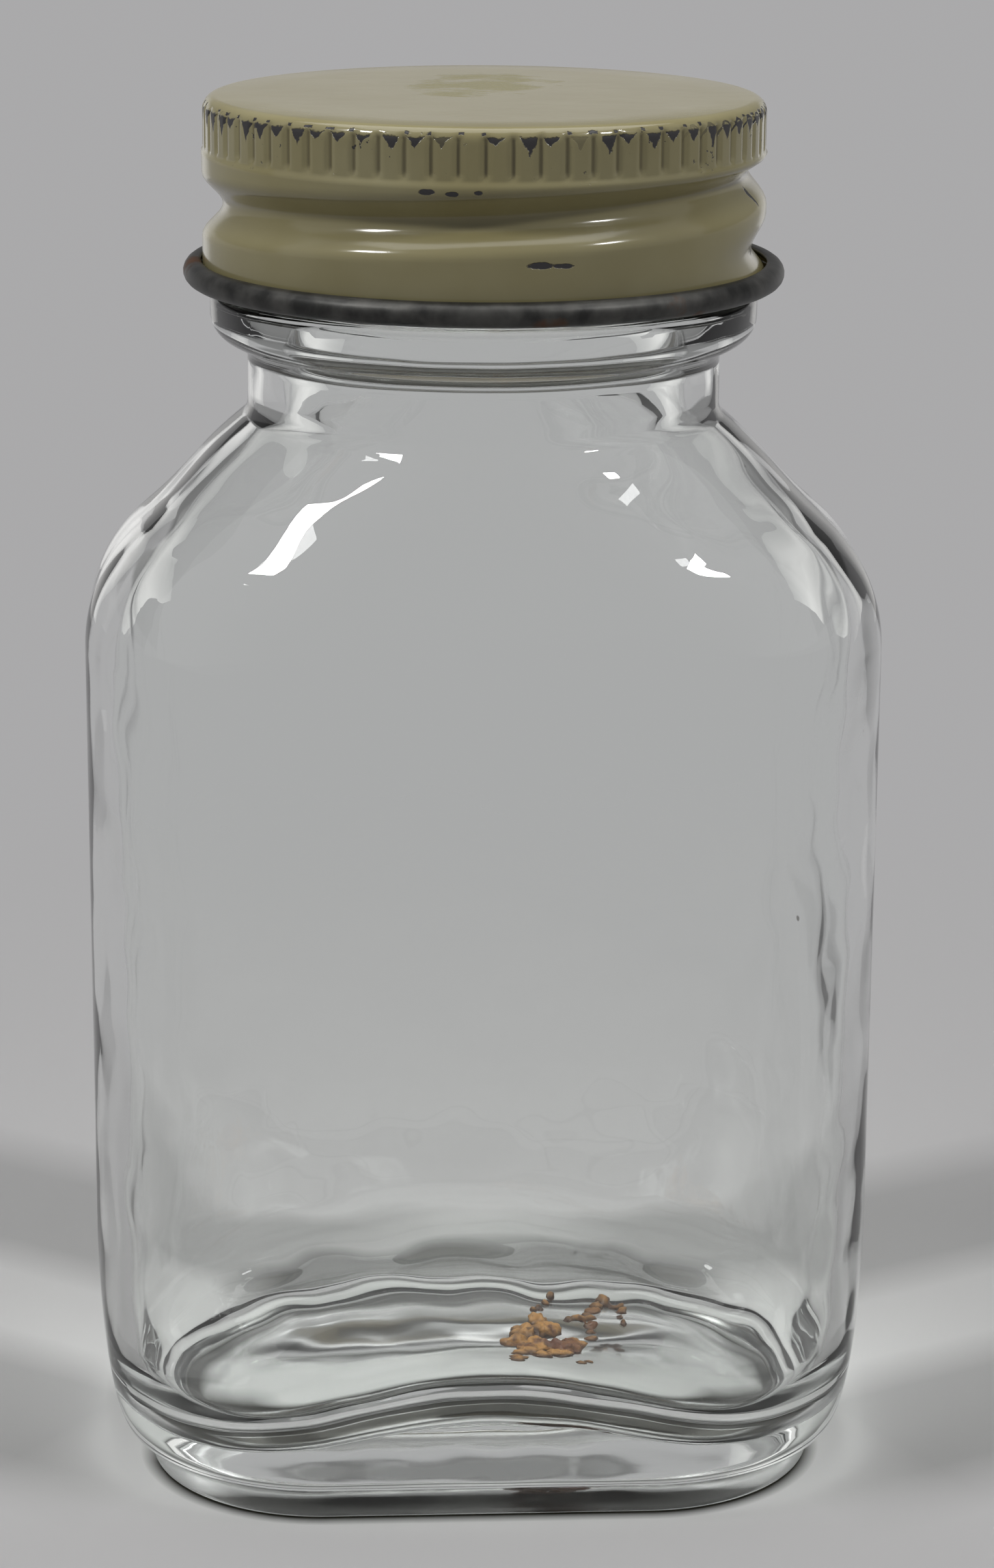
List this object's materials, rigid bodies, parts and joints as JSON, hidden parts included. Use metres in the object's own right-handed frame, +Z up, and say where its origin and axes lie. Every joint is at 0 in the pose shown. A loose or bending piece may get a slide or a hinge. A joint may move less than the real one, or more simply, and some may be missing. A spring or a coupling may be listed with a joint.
{
  "type": "apothecary bottle",
  "caption": "Small clear glass apothecary bottle, a rounded rectangle in plan, with sloping shoulders and a knurled cream tinplate screw cap over a lined mouth.",
  "frame": {"origin": "on the table, under the middle of the bottle", "axes": "+Z up along the neck, +X along the width of the body, front panel towards -Y"},
  "size_m": [0.0484, 0.036, 0.0857],
  "materials": {
    "clear_glass": "fire-polished clear glass with a faint green-grey cast",
    "cap_enamel": "glossy pale cream enamel on tinplate, chipped at the knurl, with a bare steel curl",
    "pulpboard": "plain grey-brown pulpboard",
    "facing_paper": "varnished paper facing"
  },
  "bodies": {
    "bottle": {"glass_bottle": "clear_glass"},
    "liner": {"liner_board": "pulpboard", "liner_facing": "facing_paper"},
    "cap": {"screw_cap": "cap_enamel"}
  },
  "joints": [
    {"name": "cap_rise", "type": "slide", "parent": "bottle", "child": "liner", "axis": [0, 0, 1], "range_m": [0, 0.01696]},
    {"name": "cap_turn", "type": "hinge", "parent": "liner", "child": "cap", "pos_m": [0, 0, 0.08], "axis": [0, 0, 1], "range_deg": [0, 1440]}
  ],
  "couplings": [
    {"joint": "cap_rise", "follows": "cap_turn", "m_per_rad": 0.00067375}
  ]
}
